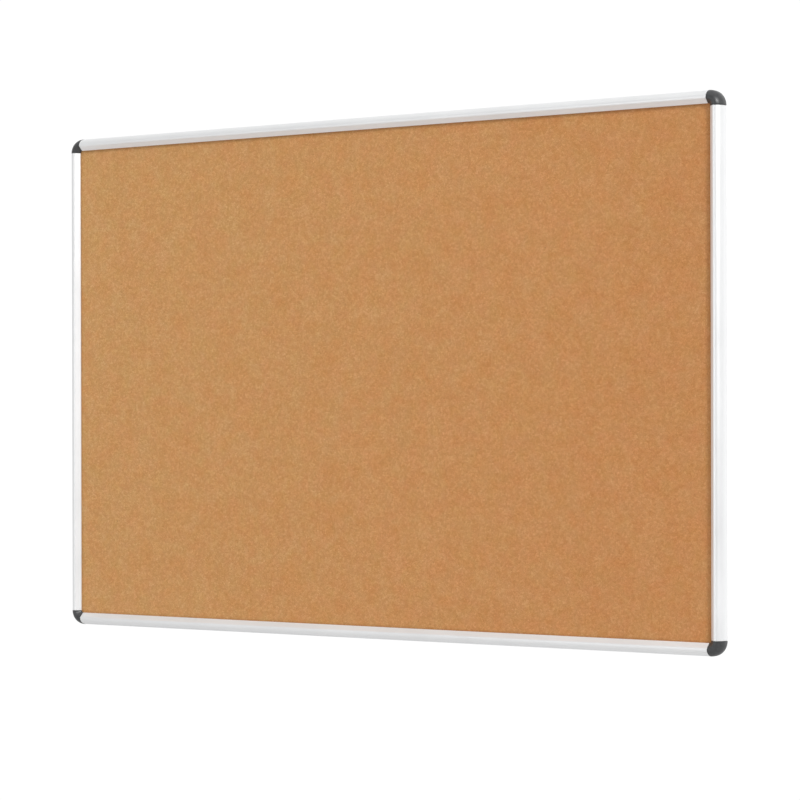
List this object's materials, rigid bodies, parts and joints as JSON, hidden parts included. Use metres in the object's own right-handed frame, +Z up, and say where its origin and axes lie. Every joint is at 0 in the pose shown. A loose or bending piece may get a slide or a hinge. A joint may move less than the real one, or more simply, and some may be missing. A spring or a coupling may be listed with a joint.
{
  "type": "cork bulletin board",
  "caption": "Wall-mounted rectangular cork notice board in a rounded aluminium frame with pull-off plastic corner caps over its wall screw brackets.",
  "frame": {"origin": "middle of the top rail's rear face, on the plane of the wall", "axes": "+X to the right along the width, +Y into the wall, +Z up; the cork faces -Y"},
  "size_m": [0.9004, 0.0152, 0.6004],
  "materials": {
    "frame_aluminium": "satin silver anodised extrusion",
    "cap_plastic": "charcoal grey moulded, fine satin",
    "bracket_plastic": "black moulded nylon",
    "screw_steel": "zinc plated",
    "cork": "fine-grained natural cork, sanded",
    "core_fibreboard": "raw softboard",
    "backing_paper": "grey kraft liner"
  },
  "bodies": {
    "board": {"rail_top": "frame_aluminium", "rail_right": "frame_aluminium", "rail_bottom": "frame_aluminium", "rail_left": "frame_aluminium", "corner_bracket_top_right": "bracket_plastic", "corner_bracket_bottom_right": "bracket_plastic", "corner_bracket_bottom_left": "bracket_plastic", "corner_bracket_top_left": "bracket_plastic", "bracket_screw_top_right_1": "screw_steel", "bracket_screw_top_right_2": "screw_steel", "bracket_screw_bottom_right_1": "screw_steel", "bracket_screw_bottom_right_2": "screw_steel", "bracket_screw_bottom_left_1": "screw_steel", "bracket_screw_bottom_left_2": "screw_steel", "bracket_screw_top_left_1": "screw_steel", "bracket_screw_top_left_2": "screw_steel", "backing_sheet": "backing_paper", "fibreboard_core": "core_fibreboard", "cork_sheet": "cork"},
    "cap_top_right": {"corner_cap_top_right": "cap_plastic"},
    "cap_bottom_right": {"corner_cap_bottom_right": "cap_plastic"},
    "cap_bottom_left": {"corner_cap_bottom_left": "cap_plastic"},
    "cap_top_left": {"corner_cap_top_left": "cap_plastic"}
  },
  "joints": [
    {"name": "cap_top_right_pull", "type": "slide", "parent": "board", "child": "cap_top_right", "axis": [0, -1, 0], "range_m": [0, 0.03]},
    {"name": "cap_bottom_right_pull", "type": "slide", "parent": "board", "child": "cap_bottom_right", "axis": [0, -1, 0], "range_m": [0, 0.03]},
    {"name": "cap_bottom_left_pull", "type": "slide", "parent": "board", "child": "cap_bottom_left", "axis": [0, -1, 0], "range_m": [0, 0.03]},
    {"name": "cap_top_left_pull", "type": "slide", "parent": "board", "child": "cap_top_left", "axis": [0, -1, 0], "range_m": [0, 0.03]}
  ]
}
